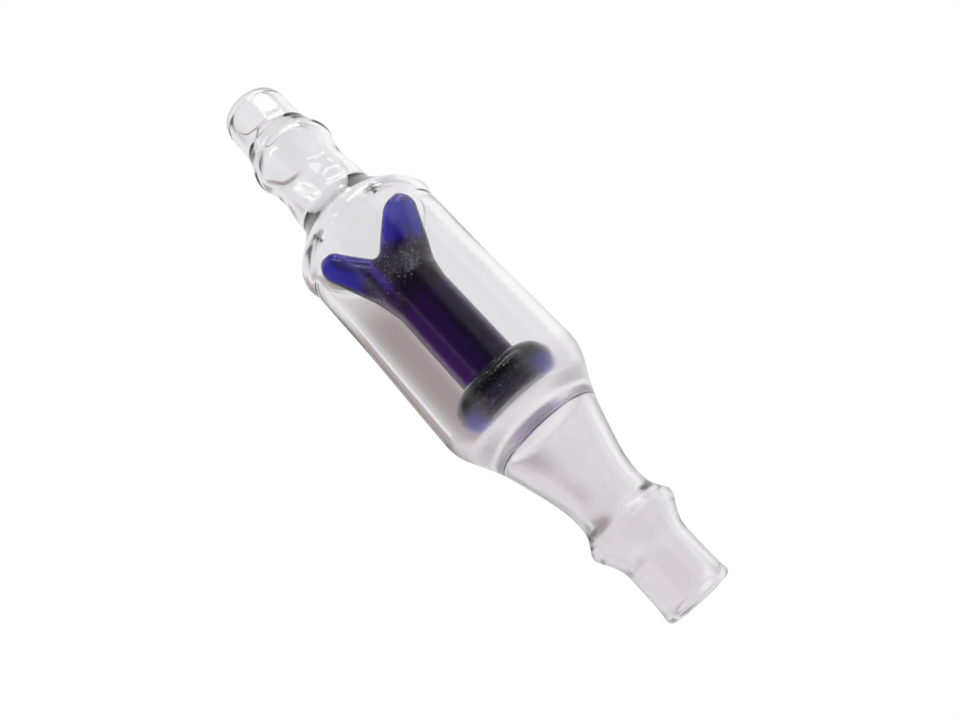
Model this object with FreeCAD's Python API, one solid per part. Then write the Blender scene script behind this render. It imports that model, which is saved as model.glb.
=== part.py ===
import FreeCAD, Part
import os
from FreeCAD import Vector as V

# Inline glass non-return valve with a hose connector at each end.
# A loose cobalt glass poppet stands in a clear borosilicate chamber over a ground seat.
# Millimetres. +Z runs from the inlet to the outlet, with the origin in the middle of the
# inlet's end. The poppet's two prongs lie along X. The poppet is drawn lifted off the seat,
# just short of its upper stop under the shoulder.

# Heights of the housing's fused seams
INLET_NECK_Z = 12.8
CHAMBER_BOTTOM_Z = 27.6
CHAMBER_TOP_Z = 51.4
OUTLET_NECK_Z = 60.2
OUTLET_END_Z = 77.6

# Housing radii
CHAMBER_R = 9.0
CHAMBER_BORE_R = 7.8
INLET_TAIL_R = 3.75
INLET_BORE_R = 2.9
INLET_OLIVE_R = 5.32
INLET_NECK_R = 4.1
INLET_NECK_BORE_R = 3.0
OUTLET_TAIL_R = 4.35
OUTLET_BORE_R = 3.3
OUTLET_OLIVE_R = 5.6
OUTLET_NECK_R = 5.1
OUTLET_NECK_BORE_R = 3.75

# Straight stretches of the two hose tails
LIP_R = 0.4
INLET_TAIL_TOP_Z = 5.2
OUTLET_TAIL_BOTTOM_Z = 73.2

# Ground seat: a short hole with a flared face above it
SEAT_HOLE_R = 5.05
SEAT_HOLE_BOTTOM_Z = 22.3
SEAT_HOLE_TOP_Z = 23.5
SEAT_RIM_R = 6.92
SEAT_RIM_Z = 24.97

# Poppet
DISC_R = 6.25
DISC_EDGE_R = 2.08
DISC_BOTTOM_Z = 26.07
STEM_R = 3.6
FORK_ROOT_Z = 43.8
CROTCH_X = -0.7
CROTCH_Z = 50.3
PRONG_TIP_Z = 54.7
PRONG_EDGE_R = 0.4

DISC_TOP_Z = DISC_BOTTOM_Z + 2 * DISC_EDGE_R
UP = V(0, 0, 1)


def at(r, z):
    """A point of a meridian, at radius r and height z."""
    return V(r, 0, z)


def line(start, end):
    return Part.LineSegment(at(*start), at(*end)).toShape()


def arc(start, middle, end):
    return Part.Arc(at(*start), at(*middle), at(*end)).toShape()


def flow(*points):
    """A smooth curve that leaves and arrives parallel to the axis."""
    curve = Part.BSplineCurve()
    rise = UP if points[-1][1] > points[0][1] else -UP
    curve.interpolate(Points=[at(*p) for p in points], InitialTangent=rise, FinalTangent=rise,
                      Scale=False)
    return curve.toShape()


def rounded(corner, wall_z, face_r):
    """Quarter round of a tube's end: where it leaves the end face, its middle, and the wall."""
    r, z = corner
    bulge = 1 - 0.5 ** 0.5
    middle = (r + (face_r - r) * bulge, z + (wall_z - z) * bulge)
    return (face_r, z), middle, (r, wall_z)


def lathe(edges):
    """Solid of revolution about Z from the edges of one closed section."""
    wire = Part.Wire(Part.__sortEdges__(edges))
    return Part.Face(wire).revolve(V(0, 0, 0), UP, 360)


def save(name, solid):
    solid.exportStep("parts/%s.step" % name)
    print("%-24s %9.2f mm3 valid=%s solids=%d" % (name, solid.Volume, solid.isValid(), len(solid.Solids)))


def inlet_hose_connector():
    """Straight tail, hollow olive and neck, blown from one tube."""
    outside = rounded((INLET_TAIL_R, 0), LIP_R, INLET_TAIL_R - LIP_R)
    inside = rounded((INLET_BORE_R, 0), LIP_R, INLET_BORE_R + LIP_R)
    return lathe([
        line(inside[0], outside[0]),
        arc(*outside),
        line(outside[2], (INLET_TAIL_R, INLET_TAIL_TOP_Z)),
        flow((INLET_TAIL_R, INLET_TAIL_TOP_Z), (3.92, 6.5), (4.28, 7.3), (4.84, 8.2), (INLET_OLIVE_R, 9.2),
             (4.86, 10.0), (4.28, 10.9), (INLET_NECK_R, INLET_NECK_Z)),
        line((INLET_NECK_R, INLET_NECK_Z), (INLET_NECK_BORE_R, INLET_NECK_Z)),
        flow((INLET_NECK_BORE_R, INLET_NECK_Z), (3.25, 11.0), (3.85, 10.1), (4.15, 9.2), (3.8, 8.3),
             (3.15, 7.2), (INLET_BORE_R, 6.0)),
        line((INLET_BORE_R, 6.0), inside[2]),
        arc(*inside),
    ])


def inlet_cone():
    """Reducer between the inlet neck and the chamber."""
    return lathe([
        flow((INLET_NECK_R, INLET_NECK_Z), (4.43, 15.1), (5.34, 18.2), (6.37, 21.2), (7.76, 24.0),
             (8.55, 25.5), (CHAMBER_R, CHAMBER_BOTTOM_Z)),
        line((CHAMBER_R, CHAMBER_BOTTOM_Z), (CHAMBER_BORE_R, CHAMBER_BOTTOM_Z)),
        flow((CHAMBER_BORE_R, CHAMBER_BOTTOM_Z), (7.35, 25.8), (6.65, 24.5), (5.25, 21.7),
             (4.2, 18.6), (3.3, 15.4), (INLET_NECK_BORE_R, INLET_NECK_Z)),
        line((INLET_NECK_BORE_R, INLET_NECK_Z), (INLET_NECK_R, INLET_NECK_Z)),
    ])


def seat_ring(cone):
    """Ring fused inside the cone, with a hole and a ground face that flares up from it."""
    slope = (SEAT_RIM_Z - SEAT_HOLE_TOP_Z) / (SEAT_RIM_R - SEAT_HOLE_R)
    inside_wall = 0.4
    foot = (SEAT_HOLE_R + 0.6, SEAT_HOLE_BOTTOM_Z - 0.5)
    rim = (SEAT_RIM_R + inside_wall, SEAT_RIM_Z + inside_wall * slope)
    blank = lathe([
        line(foot, (SEAT_HOLE_R, SEAT_HOLE_BOTTOM_Z)),
        line((SEAT_HOLE_R, SEAT_HOLE_BOTTOM_Z), (SEAT_HOLE_R, SEAT_HOLE_TOP_Z)),
        line((SEAT_HOLE_R, SEAT_HOLE_TOP_Z), rim),
        line(rim, foot),
    ])
    return blank.cut(cone).Solids[0]


def chamber_tube():
    """Plain length of heavy-walled tube."""
    outer = Part.makeCylinder(CHAMBER_R, CHAMBER_TOP_Z - CHAMBER_BOTTOM_Z, at(0, CHAMBER_BOTTOM_Z))
    bore = Part.makeCylinder(CHAMBER_BORE_R, CHAMBER_TOP_Z - CHAMBER_BOTTOM_Z, at(0, CHAMBER_BOTTOM_Z))
    return outer.cut(bore)


def shoulder_dome():
    """Domed top of the chamber, swollen where it is fused on, drawn in to the outlet's neck."""
    return lathe([
        flow((CHAMBER_R, CHAMBER_TOP_Z), (9.35, 52.7), (8.6, 54.1), (7.18, 55.6), (6.08, 57.0),
             (5.34, 58.15), (5.13, 59.0), (OUTLET_NECK_R, OUTLET_NECK_Z)),
        line((OUTLET_NECK_R, OUTLET_NECK_Z), (OUTLET_NECK_BORE_R, OUTLET_NECK_Z)),
        flow((OUTLET_NECK_BORE_R, OUTLET_NECK_Z), (3.84, 59.4), (4.15, 58.4), (5.0, 57.05), (6.2, 55.6),
             (7.5, 54.15), (8.0, 53.25), (CHAMBER_BORE_R, CHAMBER_TOP_Z)),
        line((CHAMBER_BORE_R, CHAMBER_TOP_Z), (CHAMBER_R, CHAMBER_TOP_Z)),
    ])


def outlet_hose_connector():
    """Neck, hollow olive and straight tail, blown from one tube."""
    outside = rounded((OUTLET_TAIL_R, OUTLET_END_Z), OUTLET_END_Z - LIP_R, OUTLET_TAIL_R - LIP_R)
    inside = rounded((OUTLET_BORE_R, OUTLET_END_Z), OUTLET_END_Z - LIP_R, OUTLET_BORE_R + LIP_R)
    return lathe([
        flow((OUTLET_NECK_R, OUTLET_NECK_Z), (4.75, 63.3), (4.91, 65.9), (5.2, 67.1),
             (OUTLET_OLIVE_R, 68.4), (5.4, 69.2), (4.93, 70.2), (OUTLET_TAIL_R, OUTLET_TAIL_BOTTOM_Z)),
        line((OUTLET_TAIL_R, OUTLET_TAIL_BOTTOM_Z), outside[2]),
        arc(*outside),
        line(outside[0], inside[0]),
        arc(*inside),
        line(inside[2], (OUTLET_BORE_R, 72.4)),
        flow((OUTLET_BORE_R, 72.4), (3.55, 71.3), (4.05, 70.0), (4.5, 68.5), (4.15, 67.2), (3.85, 66.0),
             (3.68, 63.5), (OUTLET_NECK_BORE_R, OUTLET_NECK_Z)),
        line((OUTLET_NECK_BORE_R, OUTLET_NECK_Z), (OUTLET_NECK_R, OUTLET_NECK_Z)),
    ])


def poppet_disc():
    """Thick disc with a fully rounded edge, pressed from a gather of glass."""
    flat_r = DISC_R - DISC_EDGE_R
    middle_z = DISC_BOTTOM_Z + DISC_EDGE_R
    return lathe([
        line((0, DISC_BOTTOM_Z), (flat_r, DISC_BOTTOM_Z)),
        arc((flat_r, DISC_BOTTOM_Z), (DISC_R, middle_z), (flat_r, DISC_TOP_Z)),
        line((flat_r, DISC_TOP_Z), (0, DISC_TOP_Z)),
        line((0, DISC_TOP_Z), (0, DISC_BOTTOM_Z)),
    ])


def poppet_stem():
    """Solid rod between the disc and the fork."""
    return Part.makeCylinder(STEM_R, FORK_ROOT_Z - DISC_TOP_Z, at(0, DISC_TOP_Z))


def fork():
    """The stem's end pressed flat and spread, then parted into two round-tipped prongs."""
    sections = ((FORK_ROOT_Z, STEM_R, STEM_R), (45.6, 4.02, 3.1), (48.0, 5.05, 2.35),
                (50.2, 6.05, 1.9), (52.0, 6.9, 1.7), (53.5, 7.16, 1.6), (PRONG_TIP_Z + 1, 7.1, 1.5))
    blade = Part.makeLoft([oval(*s) for s in sections], True)
    outline = [line((-8, FORK_ROOT_Z - 1), (8, FORK_ROOT_Z - 1))]
    for side in (-1, 1):
        outline.append(line((8 * side, FORK_ROOT_Z - 1), (8 * side, 52.9)))
        outline.append(line((8 * side, 52.9), (7.14 * side, 53.0)))
        tip = Part.BSplineCurve()
        tip.interpolate([at(7.14 * side, 53.0), at(6.8 * side, 53.95), at(5.1 * side, PRONG_TIP_Z),
                         at(4.2 * side, 54.3)])
        outline.append(tip.toShape())
        outline.append(line((4.2 * side, 54.3), (CROTCH_X, CROTCH_Z)))
    front = Part.Face(Part.Wire(Part.__sortEdges__(outline)))
    front.translate(V(0, -5, 0))
    parted = blade.common(front.extrude(V(0, 10, 0)))
    cut_edges = [e for e in parted.Edges if e.BoundBox.ZMin > CROTCH_Z - 0.1]
    return parted.makeFillet(PRONG_EDGE_R, cut_edges)


def oval(z, half_width, half_thickness):
    if half_width == half_thickness:
        return Part.Wire(Part.Circle(at(0, z), UP, half_width).toShape())
    ellipse = Part.Ellipse(at(half_width, z), V(0, half_thickness, z), at(0, z))
    return Part.Wire(ellipse.toShape())


def prongs():
    """The fork's left and right halves, which meet on the plane through the crotch."""
    whole = fork()
    left_box = Part.makeBox(20, 20, 20, V(CROTCH_X - 20, -10, FORK_ROOT_Z - 5))
    right_box = Part.makeBox(20, 20, 20, V(CROTCH_X, -10, FORK_ROOT_Z - 5))
    return whole.common(left_box).Solids[0], whole.common(right_box).Solids[0]


os.makedirs("parts", exist_ok=True)
cone = inlet_cone()
left_prong, right_prong = prongs()
save("inlet_hose_connector", inlet_hose_connector())
save("inlet_cone", cone)
save("seat_ring", seat_ring(cone))
save("chamber_tube", chamber_tube())
save("shoulder_dome", shoulder_dome())
save("outlet_hose_connector", outlet_hose_connector())
save("poppet_disc", poppet_disc())
save("poppet_stem", poppet_stem())
save("left_prong", left_prong)
save("right_prong", right_prong)
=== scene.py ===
import math

import bpy
import numpy as np
from mathutils import Matrix, Vector


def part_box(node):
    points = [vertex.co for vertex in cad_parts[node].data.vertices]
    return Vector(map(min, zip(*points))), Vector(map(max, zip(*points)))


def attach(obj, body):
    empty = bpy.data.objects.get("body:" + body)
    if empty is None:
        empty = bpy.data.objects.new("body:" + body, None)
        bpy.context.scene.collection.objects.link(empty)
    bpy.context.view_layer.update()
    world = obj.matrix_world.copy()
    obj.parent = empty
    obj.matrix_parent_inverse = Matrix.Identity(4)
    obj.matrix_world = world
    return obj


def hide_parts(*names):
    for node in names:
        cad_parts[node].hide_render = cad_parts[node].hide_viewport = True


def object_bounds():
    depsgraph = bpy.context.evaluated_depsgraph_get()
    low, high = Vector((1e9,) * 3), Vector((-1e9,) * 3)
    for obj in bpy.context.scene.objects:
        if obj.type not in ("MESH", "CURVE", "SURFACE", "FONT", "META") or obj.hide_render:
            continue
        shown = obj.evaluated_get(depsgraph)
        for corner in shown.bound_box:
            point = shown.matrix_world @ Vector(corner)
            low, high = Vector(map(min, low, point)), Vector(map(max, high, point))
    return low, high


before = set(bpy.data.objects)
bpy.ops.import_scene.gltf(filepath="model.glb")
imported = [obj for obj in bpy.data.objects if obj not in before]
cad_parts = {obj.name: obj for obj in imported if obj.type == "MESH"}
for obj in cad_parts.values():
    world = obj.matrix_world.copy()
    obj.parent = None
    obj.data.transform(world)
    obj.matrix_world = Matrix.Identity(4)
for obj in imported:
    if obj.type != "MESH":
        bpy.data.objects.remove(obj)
cad_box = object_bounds()
MM = 0.001
scene = bpy.context.scene


# ---------------------------------------------------------------- node helpers
# Every material below is built from these three.

def add_node(tree, kind, **settings):
    """A node of that kind, with its properties and unlinked inputs set by name."""
    node = tree.nodes.new(kind)
    for name, value in settings.items():
        if hasattr(node, name):
            setattr(node, name, value)
        else:
            node.inputs[name.replace("_", " ")].default_value = value
    return node


def new_group(name, inputs, outputs):
    """A shader node group with named sockets, and its input and output nodes."""
    tree = bpy.data.node_groups.new(name, "ShaderNodeTree")
    for label, value in inputs.items():
        kind = "Vector" if isinstance(value, tuple) else "Float"
        socket = tree.interface.new_socket(label, in_out="INPUT", socket_type="NodeSocket" + kind)
        socket.default_value = value
    for label, kind in outputs.items():
        tree.interface.new_socket(label, in_out="OUTPUT", socket_type="NodeSocket" + kind)
    return tree, tree.nodes.new("NodeGroupInput"), tree.nodes.new("NodeGroupOutput")


def new_material(name):
    """A material with only a Principled shader and an output in it."""
    material = bpy.data.materials.new(name)
    material.use_nodes = True
    tree = material.node_tree
    return material, tree, tree.nodes["Principled BSDF"]


# ---------------------------------------------------------------- flame-worked surface
# Shared by all the glass. Softened glass keeps slow ripples, fine draw lines along the tube and
# a little haze.

worked, into, out = new_group(
    "flame_worked_surface",
    {"Ripple": 0.2, "Pits": 0.05, "Clear Roughness": 0.0, "Hazy Roughness": 0.05, "Detail": 900.0},
    {"Roughness": "Float", "Normal": "Vector"},
)
place = add_node(worked, "ShaderNodeTexCoord")
stretch = add_node(worked, "ShaderNodeMapping")
stretch.inputs["Scale"].default_value = (1.0, 1.0, 0.35)
ripples = add_node(worked, "ShaderNodeTexNoise", Scale=160.0, Detail=1.0, Roughness=0.4)
pits = add_node(worked, "ShaderNodeTexNoise", Detail=2.0, Roughness=0.6)
haze = add_node(worked, "ShaderNodeTexNoise", Scale=260.0, Detail=3.0, Roughness=0.6)
worked.links.new(place.outputs["Object"], stretch.inputs["Vector"])
worked.links.new(stretch.outputs["Vector"], ripples.inputs["Vector"])
worked.links.new(place.outputs["Object"], pits.inputs["Vector"])
worked.links.new(into.outputs["Detail"], pits.inputs["Scale"])
worked.links.new(place.outputs["Object"], haze.inputs["Vector"])

spread = add_node(worked, "ShaderNodeMapRange")
spread.inputs["From Min"].default_value = 0.35
spread.inputs["From Max"].default_value = 0.7
worked.links.new(haze.outputs["Fac"], spread.inputs["Value"])
worked.links.new(into.outputs["Clear Roughness"], spread.inputs["To Min"])
worked.links.new(into.outputs["Hazy Roughness"], spread.inputs["To Max"])
worked.links.new(spread.outputs["Result"], out.inputs["Roughness"])

slow_bump = add_node(worked, "ShaderNodeBump", Distance=0.0004)
fine_bump = add_node(worked, "ShaderNodeBump", Distance=0.0001)
worked.links.new(ripples.outputs["Fac"], slow_bump.inputs["Height"])
worked.links.new(into.outputs["Ripple"], slow_bump.inputs["Strength"])
worked.links.new(pits.outputs["Fac"], fine_bump.inputs["Height"])
worked.links.new(into.outputs["Pits"], fine_bump.inputs["Strength"])
worked.links.new(slow_bump.outputs["Normal"], fine_bump.inputs["Normal"])
worked.links.new(fine_bump.outputs["Normal"], out.inputs["Normal"])


def glass_material(name, tint, surface):
    """Transmitting glass whose roughness and normal come from the flame-worked surface."""
    material, tree, shader = new_material(name)
    shader.inputs["Base Color"].default_value = (*tint, 1.0)
    shader.inputs["Transmission Weight"].default_value = 1.0
    shader.inputs["IOR"].default_value = 1.474
    finish = add_node(tree, "ShaderNodeGroup", name="finish")
    finish.node_tree = worked
    for label, value in surface.items():
        finish.inputs[label].default_value = value
    tree.links.new(finish.outputs["Roughness"], shader.inputs["Roughness"])
    tree.links.new(finish.outputs["Normal"], shader.inputs["Normal"])
    return material, tree


clear_glass, _ = glass_material("clear_glass", (0.985, 0.985, 0.99),
                                {"Ripple": 0.06, "Pits": 0.0, "Hazy Roughness": 0.02})
hazy_glass, _ = glass_material("hazy_glass", (0.985, 0.975, 0.99),
                               {"Ripple": 0.1, "Pits": 0.03, "Clear Roughness": 0.1,
                                "Hazy Roughness": 0.2})
ground_glass, tree = glass_material("ground_glass", (0.985, 0.98, 0.99),
                                    {"Ripple": 0.1, "Pits": 0.25, "Clear Roughness": 0.3,
                                     "Hazy Roughness": 0.45, "Detail": 6000.0})
# a faint light of its own stands in for what the ground face scatters inside the ring
shader = tree.nodes["Principled BSDF"]
shader.inputs["Emission Color"].default_value = (1.0, 0.98, 1.0, 1.0)
shader.inputs["Emission Strength"].default_value = 0.13


# ---------------------------------------------------------------- housing
# Clear borosilicate tube, worked in the flame and fused end to end: two hose connectors, a
# cone with a ground seat in it, the chamber and its shoulder. The walls follow the CAD nodes,
# and the seams are left open inside the glass, because fused glass has no faces there.

TUBES = ("inlet_hose_connector", "inlet_cone", "chamber_tube", "shoulder_dome",
         "outlet_hose_connector")
SEAT = "seat_ring"
HEIGHT_STEP = 0.25 * MM
SIDES = 112


def wall_radius(node, heights, outward):
    """Radius at each height of the node's wall that faces away from the axis, or towards it."""
    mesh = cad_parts[node].data
    stations = []
    for face in mesh.polygons:
        away = face.normal.x * face.center.x + face.normal.y * face.center.y
        if abs(face.normal.z) < 0.98 and (away > 0) == outward:
            stations += [mesh.vertices[i].co for i in face.vertices]
    stations = sorted((p.z, math.hypot(p.x, p.y)) for p in stations)
    z, r = np.array(stations).T
    beyond = 0.0 if outward else np.inf
    return np.interp(heights, z, r, left=beyond, right=beyond)


def softened(values, blur):
    """The values blurred over a few stations each way, as a flame rounds corners."""
    kernel = np.exp(-np.linspace(-2, 2, 4 * blur + 1) ** 2)
    padded = np.pad(values, 2 * blur, mode="edge")
    return np.convolve(padded, kernel / kernel.sum(), mode="valid")


def hump(z, centre, width, height):
    """A smooth rise of that height about the centre."""
    return height * np.exp(-((z - centre) / width) ** 2)


def fire_polished_end(outer, inner, z, down):
    """Half circle of a tube's rim, from its outer wall to its inner one, or back if down."""
    middle, half = (outer + inner) / 2, (outer - inner) / 2
    angles = np.linspace(0, math.pi, 11)[1:-1]
    if down:
        angles = angles[::-1]
    return np.column_stack([middle + half * np.cos(angles),
                            z + half * np.sin(angles) * (-1 if down else 1)])


top = cad_box[1].z
rim = 0.45 * MM
heights = np.linspace(rim, top - 1.2 * rim, int((top - 2 * rim) / HEIGHT_STEP))
outer = np.maximum.reduce([wall_radius(n, heights, True) for n in TUBES])
inner = np.minimum.reduce([wall_radius(n, heights, False) for n in (*TUBES, SEAT)])
outer, inner = softened(outer, 2), softened(inner, 1)
closing = hump(heights, top, 0.8 * MM, 0.25 * MM)       # the outlet's end is drawn in
flare = hump(heights, 0, 0.9 * MM, 0.18 * MM)           # the inlet's end is opened
waist = hump(heights, 41 * MM, 6 * MM, 0.1 * MM)        # the chamber is slightly thin half way up
outer += flare - waist - closing
inner -= closing
section = np.vstack([
    fire_polished_end(outer[0], inner[0], heights[0], True),
    np.column_stack([outer, heights]),
    fire_polished_end(outer[-1], inner[-1], heights[-1], False),
    np.column_stack([inner, heights])[::-1],
])

# a hand-worked tube is a little out of round, and stays inside the CAD box
around = np.linspace(0, 2 * math.pi, SIDES, endpoint=False)
radius, height = section[:, :1], section[:, 1:]
lobes = (np.sin(2 * around + height * 90) + 0.6 * np.sin(3 * around - height * 140 + 1)
         + 0.5 * np.sin(around + height * 60 + 2))
radius = radius * (1 - 0.004 + 0.0018 * lobes)
grid = np.stack([radius * np.cos(around), radius * np.sin(around),
                 np.broadcast_to(height, radius.shape)], axis=-1)
along = np.roll(grid, -1, 0) - np.roll(grid, 1, 0)
round_ = np.roll(grid, -1, 1) - np.roll(grid, 1, 1)
normals = np.cross(round_, along)
normals /= np.linalg.norm(normals, axis=-1, keepdims=True)


def strip(name, keep, material):
    """A piece of the housing's surface: the bands of the section for which keep is true."""
    rows = np.nonzero(keep)[0]
    columns = np.arange(SIDES)
    here, there = rows[:, None] * SIDES + columns, (rows[:, None] + 1) % len(grid) * SIDES + columns
    faces = np.stack([here, np.roll(here, -1, 1), np.roll(there, -1, 1), there], -1).reshape(-1, 4)
    used, faces = np.unique(faces, return_inverse=True)
    mesh = bpy.data.meshes.new(name)
    mesh.from_pydata(grid.reshape(-1, 3)[used].tolist(), [], faces.reshape(-1, 4).tolist())
    mesh.shade_smooth()
    mesh.normals_split_custom_set_from_vertices(normals.reshape(-1, 3)[used].tolist())
    mesh.materials.append(material)
    piece = bpy.data.objects.new(name, mesh)
    scene.collection.objects.link(piece)
    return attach(piece, "housing")


band_z = (section[:, 1] + np.roll(section[:, 1], -1)) / 2
on_inside = np.arange(len(section)) >= len(section) - len(heights)
seat_low, seat_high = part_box(SEAT)
on_seat = on_inside & (band_z > seat_low.z) & (band_z < seat_high.z)

for node in TUBES:
    low, high = (corner.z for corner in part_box(node))
    glass = hazy_glass if node in ("inlet_cone", "inlet_hose_connector") else clear_glass
    piece = strip("glass_" + node, (band_z >= low) & (band_z < high) & ~on_seat, glass)
    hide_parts(node)

seat = strip("ground_" + SEAT, on_seat, ground_glass)
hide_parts(SEAT)


# ---------------------------------------------------------------- poppet
# Solid cobalt glass: a rod with a thick round disc at the bottom and its top spread into two
# flattened prongs, all run together in the flame. It is one skin over the four CAD nodes.

disc_low, disc_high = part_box("poppet_disc")
stem_low, stem_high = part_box("poppet_stem")
left_low, left_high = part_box("left_prong")
right_low, right_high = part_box("right_prong")
disc_r, disc_edge = disc_high.x, (disc_high.z - disc_low.z) / 2
disc_z = disc_low.z + disc_edge
stem_r = stem_high.x
fork_z = stem_high.z + 0.4 * MM
# side, middle of the root, radius at the root and at the tip
PRONGS = ((-1, -0.2 * MM, 3.35 * MM, 2.0 * MM), (1, -0.1 * MM, 3.6 * MM, 2.0 * MM))
CROTCH_SHIFT = 0.65 * MM        # how far the crotch lies from the axis, towards the left prong
FORK_RISE = 4 * MM              # height over which the round stem becomes a flat fork
SKIN_STEP = 0.17 * MM


def blended(a, b, fillet):
    """Union of two shapes given by their distances, with a fillet about that wide between them."""
    mix = np.clip(0.5 + (b - a) / (2 * fillet), 0, 1)
    return b + (a - b) * mix - fillet * mix * (1 - mix)


def tapered_limb(x, y, z, start, end):
    """Distance to a limb that runs between two (x, z, radius) balls."""
    (x0, z0, r0), (x1, z1, r1) = start, end
    span = (x1 - x0) ** 2 + (z1 - z0) ** 2
    share = np.clip(((x - x0) * (x1 - x0) + (z - z0) * (z1 - z0)) / span, 0, 1)
    across = np.sqrt((x - x0 - share * (x1 - x0)) ** 2 + y ** 2 + (z - z0 - share * (z1 - z0)) ** 2)
    return across - (r0 + share * (r1 - r0))


def poppet_distance(x, y, z):
    """Distance from the poppet's surface, negative inside the glass."""
    out_from_axis = np.hypot(x, y)
    disc = np.hypot(np.maximum(out_from_axis - (disc_r - disc_edge), 0), z - disc_z) - disc_edge
    stem = tapered_limb(x, y, z, (0, disc_high.z + 1 * MM, stem_r), (0, fork_z, stem_r))
    flat = np.clip((z - fork_z) / FORK_RISE, 0, 1)
    pressed = 1 + 0.35 * flat
    x = x + CROTCH_SHIFT * flat * np.clip(1 - (x / (5 * MM)) ** 2, 0, 1)
    limbs = [tapered_limb(x, y * pressed, z, (root_x, fork_z + 0.3 * MM, root_r),
                          (side * (right_high.x - tip_r), right_high.z - tip_r, tip_r))
             for side, root_x, root_r, tip_r in PRONGS]
    slab = np.abs(y) - stem_r + 1.9 * MM * np.clip((z - fork_z) / (8 * MM), 0, 1)
    fork = -blended(-blended(*limbs, 1.3 * MM), -slab, 0.5 * MM)
    return blended(blended(stem, fork, 0.6 * MM), disc, 0.45 * MM)


def skin(distance, low, high, step):
    """Vertices and quads of the surface where distance is nought, one vertex in each grid cell."""
    axes = [np.arange(a - 2 * step, b + 3 * step, step) for a, b in zip(low, high)]
    field = distance(*np.meshgrid(*axes, indexing="ij"))
    shape = np.array(field.shape)
    total, count = np.zeros((*(shape - 1), 3)), np.zeros(shape - 1)
    quads = []
    for axis in range(3):
        ahead = np.take(field, range(1, shape[axis]), axis)
        behind = np.take(field, range(0, shape[axis] - 1), axis)
        crossing = (ahead < 0) != (behind < 0)
        where = np.argwhere(crossing)
        gap = behind[crossing] / (behind[crossing] - ahead[crossing])
        point = where.astype(float)
        point[:, axis] += gap
        others = [a for a in range(3) if a != axis]
        cells = []
        for i, j in ((0, 0), (1, 0), (1, 1), (0, 1)):
            cell = where.copy()
            cell[:, others[0]] -= i
            cell[:, others[1]] -= j
            np.add.at(total, tuple(cell.T), point)
            np.add.at(count, tuple(cell.T), 1)
            cells.append(np.ravel_multi_index(cell.T, shape - 1))
        ring = np.stack(cells, -1)
        flip = (ahead[crossing] < 0) == (axis != 1)
        ring[flip] = ring[flip][:, ::-1]
        quads.append(ring)
    used, faces = np.unique(np.vstack(quads), return_inverse=True)
    mean = total.reshape(-1, 3)[used] / count.reshape(-1, 1)[used]
    return mean * step + [a[0] for a in axes], faces.reshape(-1, 4)


# Colour of the cobalt glass by place: smoke drawn along the stem, a dark root under the fork, clear
# blue prongs and a bluer foot, with a pale violet band of painted refracted light up the left side.
# Seeds roughen the root.

colour_and_painted_light, into, out = new_group("cobalt_colour_and_painted_light", {},
                              {"Color": "Color", "Seeds": "Float", "Glow": "Color"})
place = add_node(colour_and_painted_light, "ShaderNodeTexCoord")
axes = add_node(colour_and_painted_light, "ShaderNodeSeparateXYZ")
colour_and_painted_light.links.new(place.outputs["Object"], axes.inputs["Vector"])


def reach(tree, source, start, end):
    """A mask that climbs smoothly from nought at start to one at end."""
    node = add_node(tree, "ShaderNodeMapRange", interpolation_type="SMOOTHSTEP")
    node.inputs["From Min"].default_value = start
    node.inputs["From Max"].default_value = end
    tree.links.new(source, node.inputs["Value"])
    return node.outputs["Result"]


def tinted(tree, below, above, mask):
    """The colour below, covered by the colour above where the mask is one."""
    node = add_node(tree, "ShaderNodeMix", data_type="RGBA")
    for socket, colour in (("A", below), ("B", above)):
        if isinstance(colour, tuple):
            node.inputs[socket].default_value = (*colour, 1)
        else:
            tree.links.new(colour, node.inputs[socket])
    tree.links.new(mask, node.inputs["Factor"])
    return node.outputs["Result"]


def times(tree, a, b):
    """The product of two output sockets."""
    node = add_node(tree, "ShaderNodeMath", operation="MULTIPLY")
    tree.links.new(a, node.inputs[0])
    tree.links.new(b, node.inputs[1])
    return node.outputs["Value"]


drawn = add_node(colour_and_painted_light, "ShaderNodeMapping")
drawn.inputs["Scale"].default_value = (1.0, 1.0, 0.2)
streaks = add_node(colour_and_painted_light, "ShaderNodeTexNoise", Scale=420.0, Detail=3.0, Roughness=0.6)
colour_and_painted_light.links.new(place.outputs["Object"], drawn.inputs["Vector"])
colour_and_painted_light.links.new(drawn.outputs["Vector"], streaks.inputs["Vector"])
smoke_and_painted_light = tinted(colour_and_painted_light, (0.22, 0.3, 0.45), (0.5, 0.5, 0.75),
               reach(colour_and_painted_light, streaks.outputs["Fac"], 0.4, 0.65))
spread = add_node(colour_and_painted_light, "ShaderNodeMath", operation="ABSOLUTE")
colour_and_painted_light.links.new(axes.outputs["X"], spread.inputs[0])
rise = add_node(colour_and_painted_light, "ShaderNodeMath", operation="MULTIPLY_ADD")
rise.inputs[1].default_value = 0.55
colour_and_painted_light.links.new(spread.outputs["Value"], rise.inputs[0])
colour_and_painted_light.links.new(axes.outputs["Z"], rise.inputs[2])
root = times(colour_and_painted_light, reach(colour_and_painted_light, axes.outputs["Z"], 42 * MM, 45 * MM),
             reach(colour_and_painted_light, rise.outputs["Value"], 52 * MM, 50 * MM))
smoke_and_painted_light = tinted(colour_and_painted_light, smoke_and_painted_light, (0.05, 0.06, 0.1), root)
smoke_and_painted_light = tinted(colour_and_painted_light, smoke_and_painted_light, (0.05, 0.4, 0.95),
               reach(colour_and_painted_light, rise.outputs["Value"], 50 * MM, 51.5 * MM))
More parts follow.
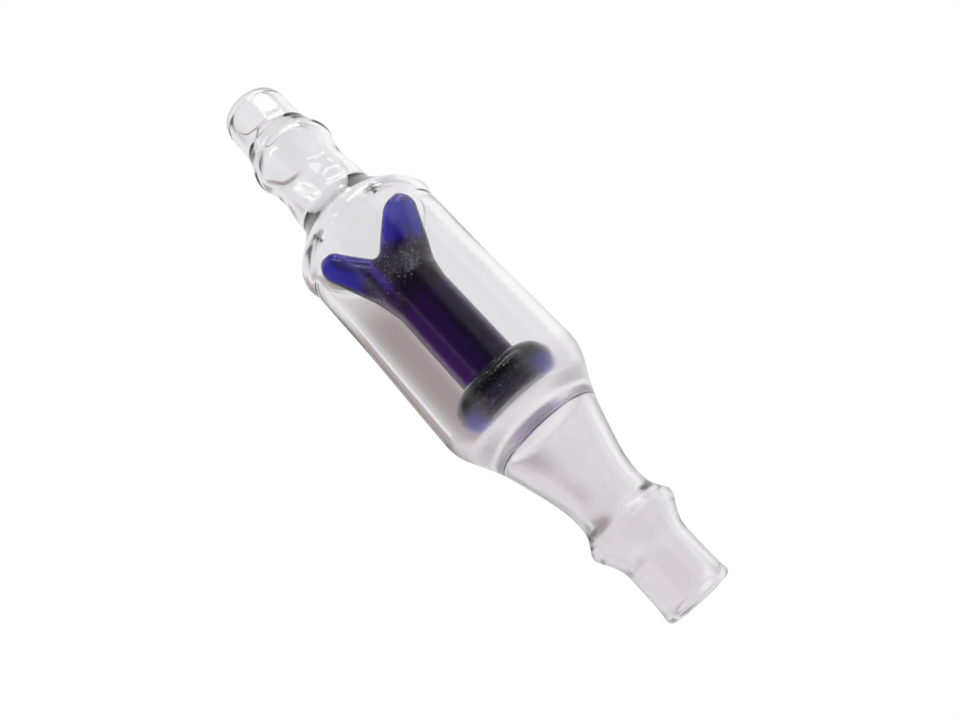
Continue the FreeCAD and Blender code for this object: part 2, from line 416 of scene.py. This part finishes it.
# painted light: the pale violet band up the left of the stem is refracted light put into the colour
violet_painted_light = times(colour_and_painted_light, reach(colour_and_painted_light, axes.outputs["X"], -0.7 * MM, -1.3 * MM),
               reach(colour_and_painted_light, axes.outputs["Z"], 47 * MM, 43 * MM))
smoke_and_painted_light = tinted(colour_and_painted_light, smoke_and_painted_light, (0.8, 0.6, 0.8), violet_painted_light)
smoke_and_painted_light = tinted(colour_and_painted_light, smoke_and_painted_light, (0.3, 0.4, 1.0), reach(colour_and_painted_light, axes.outputs["Z"], 28.6 * MM, 27.6 * MM))
colour_and_painted_light.links.new(smoke_and_painted_light, out.inputs["Color"])
colour_and_painted_light.links.new(root, out.inputs["Seeds"])

# A faint light stands in for what the glass scatters: seeds in the root and the disc, the disc's
# thin lower corners, and a bright streak up the left of the root.

seeds = add_node(colour_and_painted_light, "ShaderNodeTexNoise", Scale=4200.0, Detail=0.0)
colour_and_painted_light.links.new(place.outputs["Object"], seeds.inputs["Vector"])
in_disc = reach(colour_and_painted_light, axes.outputs["Z"], 31 * MM, 29.5 * MM)
seeded_part = add_node(colour_and_painted_light, "ShaderNodeMath", operation="MAXIMUM")
colour_and_painted_light.links.new(root, seeded_part.inputs[0])
colour_and_painted_light.links.new(in_disc, seeded_part.inputs[1])
specks = times(colour_and_painted_light, reach(colour_and_painted_light, seeds.outputs["Fac"], 0.66, 0.8), seeded_part.outputs["Value"])
corner = times(colour_and_painted_light, reach(colour_and_painted_light, spread.outputs["Value"], 2.6 * MM, 4.8 * MM),
               reach(colour_and_painted_light, axes.outputs["Z"], 28.3 * MM, 26.9 * MM))
glow = tinted(colour_and_painted_light, (0.0, 0.0, 0.0), (0.045, 0.037, 0.2), corner)
streak = times(colour_and_painted_light, reach(colour_and_painted_light, axes.outputs["X"], -2.8 * MM, -2.2 * MM),
               reach(colour_and_painted_light, axes.outputs["X"], -1.3 * MM, -1.9 * MM))
streak = times(colour_and_painted_light, streak, times(colour_and_painted_light, reach(colour_and_painted_light, axes.outputs["Z"], 43 * MM, 46 * MM),
                                     reach(colour_and_painted_light, axes.outputs["Z"], 50 * MM, 48.5 * MM)))
glow = tinted(colour_and_painted_light, glow, (0.02, 0.004, 0.14), streak)
glow = tinted(colour_and_painted_light, glow, (0.09, 0.09, 0.11), specks)
colour_and_painted_light.links.new(glow, out.inputs["Glow"])

cobalt_glass, tree = glass_material("cobalt_glass", (0.9, 0.9, 1.0),
                                    {"Ripple": 0.3, "Hazy Roughness": 0.05, "Detail": 5000.0})
colour = add_node(tree, "ShaderNodeGroup")
colour.node_tree = colour_and_painted_light
shader = tree.nodes["Principled BSDF"]
tree.links.new(colour.outputs["Color"], shader.inputs["Base Color"])
tree.links.new(colour.outputs["Glow"], shader.inputs["Emission Color"])
shader.inputs["Emission Strength"].default_value = 1.0
seeded = add_node(tree, "ShaderNodeMath", operation="MULTIPLY_ADD")
seeded.inputs[1].default_value = 0.25
seeded.inputs[2].default_value = 0.05
tree.links.new(colour.outputs["Seeds"], seeded.inputs[0])
tree.links.new(seeded.outputs["Value"], tree.nodes["finish"].inputs["Pits"])
depth = add_node(tree, "ShaderNodeVolumeAbsorption", Density=1500.0)
depth.inputs["Color"].default_value = (0.7, 0.0, 0.773, 1.0)
tree.links.new(depth.outputs["Volume"], tree.nodes["Material Output"].inputs["Volume"])

low = np.array([left_low.x, -disc_r, disc_low.z])
high = np.array([right_high.x, disc_r, right_high.z])
vertices, faces = skin(poppet_distance, low, high, SKIN_STEP)
mesh = bpy.data.meshes.new("cobalt_poppet")
mesh.from_pydata(vertices.tolist(), [], faces.tolist())
mesh.shade_smooth()
mesh.materials.append(cobalt_glass)
poppet = bpy.data.objects.new("cobalt_poppet", mesh)
scene.collection.objects.link(poppet)
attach(poppet, "poppet")
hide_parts("poppet_disc", "poppet_stem", "left_prong", "right_prong")


# ---------------------------------------------------------------- floor and light
# A pale floor that runs out into white, under a soft studio. Glass shows only what it bends or
# mirrors, so the studio's cards are set out by the direction they lie in from the valve.

card, into, out = new_group(
    "studio_card",
    {"Direction": (0.0, 0.0, 1.0), "Facing": (0.0, 1.0, 0.0), "Across": (1.0, 0.0, 0.0),
     "Width": 0.3, "Height": 0.3, "Softness": 0.1, "Bars": 0.0},
    {"Mask": "Float"},
)


def vector_math(tree, operation, a, b=None):
    """A vector maths node fed by those sockets."""
    node = add_node(tree, "ShaderNodeVectorMath", operation=operation)
    tree.links.new(a, node.inputs[0])
    if b:
        tree.links.new(b, node.inputs[1])
    return node


def scalar_math(tree, operation, a, b):
    """The result of a maths operation on two sockets or numbers."""
    node = add_node(tree, "ShaderNodeMath", operation=operation)
    for socket, value in enumerate((a, b)):
        if isinstance(value, (int, float)):
            node.inputs[socket].default_value = value
        else:
            tree.links.new(value, node.inputs[socket])
    return node.outputs["Value"]


toward, facing, across = (into.outputs[label] for label in ("Direction", "Facing", "Across"))
ahead = vector_math(card, "DOT_PRODUCT", toward, facing).outputs["Value"]
near = scalar_math(card, "MAXIMUM", ahead, 0.02)
up_edge = vector_math(card, "CROSS_PRODUCT", facing, across).outputs["Vector"]
mask = scalar_math(card, "GREATER_THAN", ahead, 0.05)
for edge, size in ((across, "Width"), (up_edge, "Height")):
    offset = vector_math(card, "DOT_PRODUCT", toward, edge).outputs["Value"]
    offset = scalar_math(card, "DIVIDE", offset, near)
    fall = add_node(card, "ShaderNodeMapRange", interpolation_type="SMOOTHSTEP")
    fall.inputs["To Min"].default_value = 1.0
    fall.inputs["To Max"].default_value = 0.0
    card.links.new(scalar_math(card, "ABSOLUTE", offset, 0), fall.inputs["Value"])
    card.links.new(into.outputs[size], fall.inputs["From Min"])
    card.links.new(scalar_math(card, "ADD", into.outputs[size], into.outputs["Softness"]),
                   fall.inputs["From Max"])
    mask = scalar_math(card, "MULTIPLY", mask, fall.outputs["Result"])
# glazing bars darken stripes of a card that has them
bars = scalar_math(card, "SINE", scalar_math(card, "MULTIPLY", offset, into.outputs["Bars"]), 0)
gaps = scalar_math(card, "GREATER_THAN", bars, -0.4)
plain = scalar_math(card, "LESS_THAN", into.outputs["Bars"], 0.5)
card.links.new(scalar_math(card, "MULTIPLY", mask, scalar_math(card, "MAXIMUM", gaps, plain)),
               out.inputs["Mask"])

# For each card: the direction it lies in, the edge across it, half its width and height, the
# softness of its edges, its bars, and its colour. In turn: the dark front and dark left, the pale
# right and right back, the warm left back, and the window.
CARDS = (
    ((0.0, -0.93, 0.37), (1, 0, 0), 0.6, 0.3, 0.35, 0, (0.06, 0.06, 0.065)),
    ((-0.85, -0.15, 0.5), (0.17, -0.98, 0), 0.3, 0.25, 0.3, 0, (0.15, 0.15, 0.15)),
    ((0.93, -0.2, 0.3), (0.2, 0.93, 0), 0.3, 0.7, 0.3, 0, (0.6, 0.6, 0.6)),
    ((0.6, 0.75, 0.25), (0.75, -0.6, 0), 0.22, 0.5, 0.2, 0, (0.95, 0.95, 0.95)),
    ((-0.38, 0.88, 0.3), (0.88, 0.38, 0), 0.27, 0.12, 0.12, 0, (0.36, 0.3, 0.3)),
    ((0.5, -0.35, 0.79), (0.57, 0.82, 0), 0.4, 0.18, 0.04, 22, (3.5, 3.5, 3.6)),
)
studio, into, out = new_group("studio_tone", {"Direction": (0.0, 0.0, 1.0)}, {"Color": "Color"})
lean = add_node(studio, "ShaderNodeSeparateXYZ")
studio.links.new(into.outputs["Direction"], lean.inputs["Vector"])
tone = tinted(studio, (0.5, 0.49, 0.49), (0.85, 0.84, 0.85),
              reach(studio, lean.outputs["Y"], -0.4, 0.75))
tone = tinted(studio, (0.72, 0.68, 0.7), tone, reach(studio, lean.outputs["Z"], -0.2, 0.4))
for facing, across, width, height, softness, bars, colour in CARDS:
    sheet = add_node(studio, "ShaderNodeGroup")
    sheet.node_tree = card
    settings = {"Facing": Vector(facing).normalized(), "Across": Vector(across).normalized(),
                "Width": width, "Height": height, "Softness": softness, "Bars": bars}
    for label, value in settings.items():
        sheet.inputs[label].default_value = value
    studio.links.new(into.outputs["Direction"], sheet.inputs["Direction"])
    tone = tinted(studio, tone, colour, sheet.outputs["Mask"])
studio.links.new(tone, out.inputs["Color"])


def studio_from(tree, vector):
    """The studio's colour in the direction of that vector, as an output socket."""
    unit = vector_math(tree, "NORMALIZE", vector).outputs["Vector"]
    node = add_node(tree, "ShaderNodeGroup")
    node.node_tree = studio
    tree.links.new(unit, node.inputs["Direction"])
    return node.outputs["Color"]


# The floor and the sky are white to the camera, and the studio to everything the glass sends out.
FLOOR_R = 2.0
bpy.ops.mesh.primitive_circle_add(vertices=96, radius=FLOOR_R, fill_type="NGON")
floor = bpy.context.object
floor.name = "floor"
floor_material, tree, shader = new_material("pale_floor")
floor.data.materials.append(floor_material)
place = add_node(tree, "ShaderNodeTexCoord")
seen = add_node(tree, "ShaderNodeLightPath")
glow = add_node(tree, "ShaderNodeEmission")
tree.links.new(tinted(tree, studio_from(tree, place.outputs["Object"]), (1, 1, 1),
                      seen.outputs["Is Camera Ray"]), glow.inputs["Color"])
tree.links.new(glow.outputs["Emission"], tree.nodes["Material Output"].inputs["Surface"])

world = bpy.data.worlds.new("studio")
scene.world = world
world.use_nodes = True
tree = world.node_tree
place = add_node(tree, "ShaderNodeTexCoord")
seen = add_node(tree, "ShaderNodeLightPath")
tree.links.new(tinted(tree, studio_from(tree, place.outputs["Generated"]), (1, 1, 1),
                      seen.outputs["Is Camera Ray"]), tree.nodes["Background"].inputs["Color"])


# ---------------------------------------------------------------- camera
# Close below the shoulder, looking up at the chamber's middle, rolled so that the valve leans.

FOCUS = Vector((0, 0, 34.4 * MM))
DISTANCE = 84.5 * MM
TILT = math.radians(18.7)
ROLL = math.radians(42.66)
SENSOR = 36.0
forward = Vector((0, math.cos(TILT), math.sin(TILT)))
level_right = Vector((1, 0, 0))
level_up = level_right.cross(forward)
right = level_right * math.cos(ROLL) - level_up * math.sin(ROLL)
up = level_right * math.sin(ROLL) + level_up * math.cos(ROLL)
camera = bpy.data.objects.new("camera", bpy.data.cameras.new("camera"))
scene.collection.objects.link(camera)
camera.data.sensor_width = SENSOR
camera.data.lens = SENSOR * 765 / 960
camera.data.clip_start = 1 * MM
camera.data.clip_end = 10
eye = FOCUS - forward * DISTANCE
camera.matrix_world = Matrix((
    (right.x, up.x, -forward.x, eye.x),
    (right.y, up.y, -forward.y, eye.y),
    (right.z, up.z, -forward.z, eye.z),
    (0, 0, 0, 1),
))
camera.data.shift_x = 10 / 960
camera.data.shift_y = -11.7 / 960
scene.camera = camera

scene.view_settings.view_transform = "Standard"
# light can run a long way inside the walls before it leaves the glass
scene.cycles.max_bounces = 64
scene.cycles.transmission_bounces = 64
scene.cycles.transparent_max_bounces = 12
